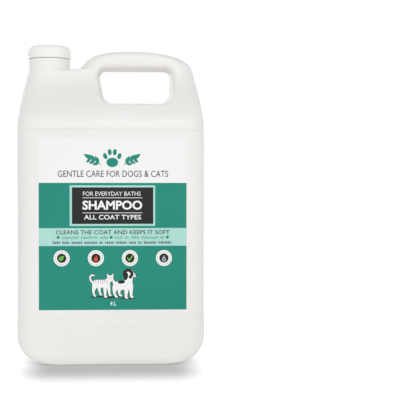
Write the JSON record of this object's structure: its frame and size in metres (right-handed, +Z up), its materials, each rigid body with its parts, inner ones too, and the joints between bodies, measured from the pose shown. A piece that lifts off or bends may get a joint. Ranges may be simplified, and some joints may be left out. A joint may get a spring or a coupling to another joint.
{
  "type": "shampoo bottle",
  "caption": "Oblong white plastic jug for pet shampoo with a through handle, offset screw neck, ribbed cap and printed front and back labels.",
  "frame": {"origin": "on the surface that the jug stands on, under the middle of the body", "axes": "+Z up, the front label faces -Y, the neck is on the -X side and the handle on the +X side"},
  "size_m": [0.179, 0.1012, 0.3044],
  "materials": {
    "jug_plastic": "satin natural-white polyethylene, slightly translucent",
    "cap_plastic": "satin white polypropylene",
    "liner_foam": "fine closed-cell foam",
    "label_film": "printed film with a soft gloss"
  },
  "bodies": {
    "jug": {"jug_body": "jug_plastic", "front_label": "label_film", "back_label": "label_film"},
    "liner": {"cap_liner": "liner_foam"},
    "cap": {"screw_cap": "cap_plastic"}
  },
  "joints": [
    {"name": "cap_lift", "type": "slide", "parent": "jug", "child": "liner", "axis": [0, 0, 1], "range_m": [0, 0.01694]},
    {"name": "cap_turn", "type": "hinge", "parent": "liner", "child": "cap", "pos_m": [-0.05979, 0, 0.29736], "axis": [0, 0, 1], "range_deg": [0, 1440]}
  ],
  "couplings": [
    {"joint": "cap_lift", "follows": "cap_turn", "m_per_rad": 0.00067376}
  ]
}
